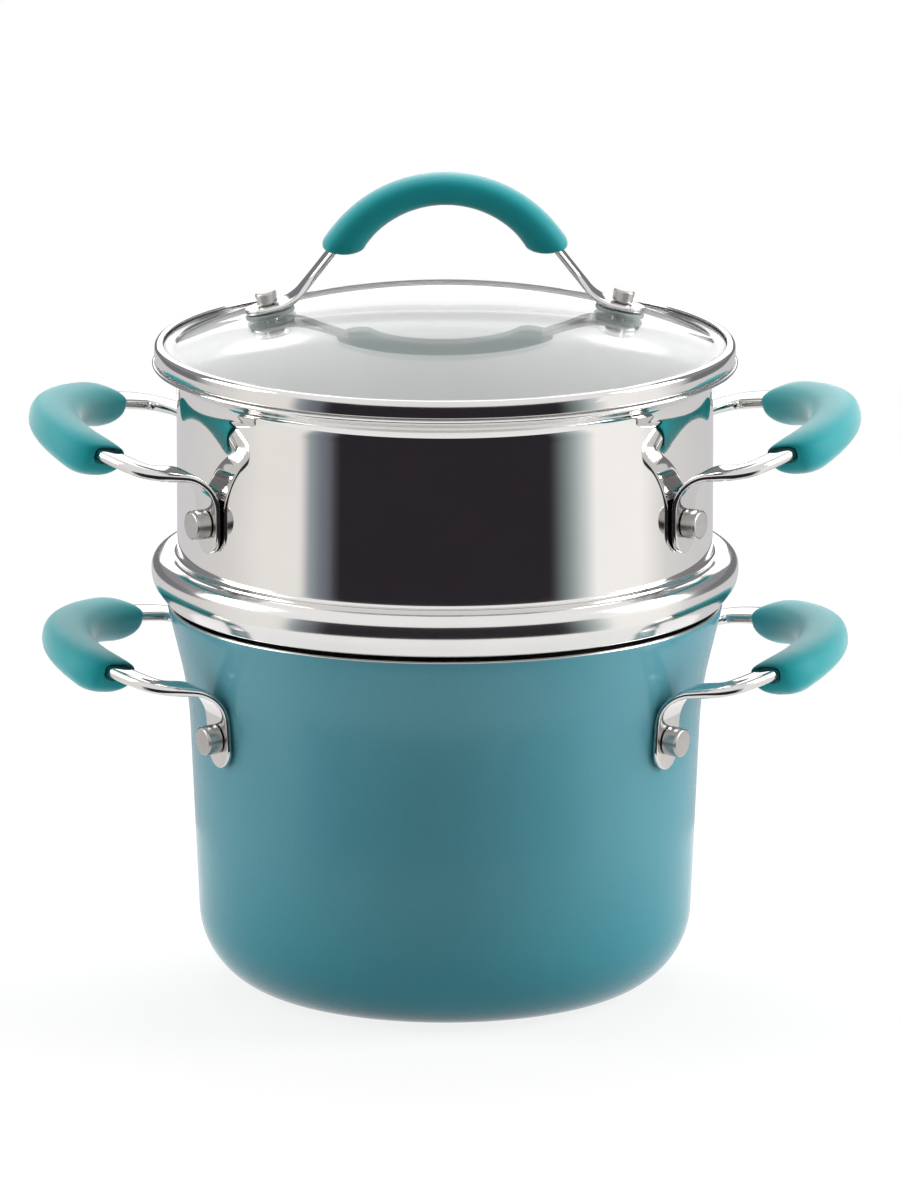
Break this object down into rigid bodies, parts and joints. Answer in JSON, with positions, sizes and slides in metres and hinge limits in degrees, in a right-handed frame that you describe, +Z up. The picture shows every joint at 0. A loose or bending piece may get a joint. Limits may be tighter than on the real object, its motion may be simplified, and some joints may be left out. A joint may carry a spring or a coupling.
{
  "type": "saucepot with steamer insert",
  "caption": "Enamelled stovetop saucepot with a polished steel steamer insert stacked on its rim and a domed glass lid; riveted steel loop handles carry rubber grips.",
  "frame": {"origin": "centre of the pot's flat base, on the surface it stands on", "axes": "+Z up along the common axis of pot, insert and lid; +X toward the right-hand pot handle; -Y toward the viewer of the picture"},
  "size_m": [0.2824, 0.2002, 0.2816],
  "materials": {
    "enamel": "gloss vitreous enamel outside, bare metal rim, satin inside",
    "polished_steel": "mirror-polished stainless steel",
    "grip_rubber": "matt moulded silicone rubber",
    "gasket_rubber": "translucent silicone rubber",
    "glass": "clear tempered glass with a faint green edge"
  },
  "bodies": {
    "pot": {"pot_body": "enamel", "pot_handle_rod_right": "polished_steel", "pot_handle_grip_right": "grip_rubber", "pot_rivet_right_1": "polished_steel", "pot_rivet_right_2": "polished_steel", "pot_handle_rod_left": "polished_steel", "pot_handle_grip_left": "grip_rubber", "pot_rivet_left_1": "polished_steel", "pot_rivet_left_2": "polished_steel"},
    "steamer": {"steamer_basket": "polished_steel", "steamer_bead": "polished_steel", "steamer_wall": "polished_steel", "steamer_lip": "polished_steel", "steamer_floor": "polished_steel", "steamer_handle_rod_right": "polished_steel", "steamer_handle_grip_right": "grip_rubber", "steamer_rivet_right_1": "polished_steel", "steamer_rivet_right_2": "polished_steel", "steamer_handle_rod_left": "polished_steel", "steamer_handle_grip_left": "grip_rubber", "steamer_rivet_left_1": "polished_steel", "steamer_rivet_left_2": "polished_steel"},
    "lid": {"lid_rim_band": "polished_steel", "lid_glass": "glass", "lid_handle_rod": "polished_steel", "lid_handle_grip": "grip_rubber", "lid_rivet_right": "polished_steel", "lid_gasket_upper_right": "gasket_rubber", "lid_gasket_lower_right": "gasket_rubber", "lid_rivet_left": "polished_steel", "lid_gasket_upper_left": "gasket_rubber", "lid_gasket_lower_left": "gasket_rubber"}
  },
  "joints": [
    {"name": "steamer_lift", "type": "slide", "parent": "pot", "child": "steamer", "axis": [0, 0, 1], "range_m": [0, 0.11]},
    {"name": "lid_lift", "type": "slide", "parent": "steamer", "child": "lid", "axis": [0, 0, 1], "range_m": [0, 0.09]}
  ]
}
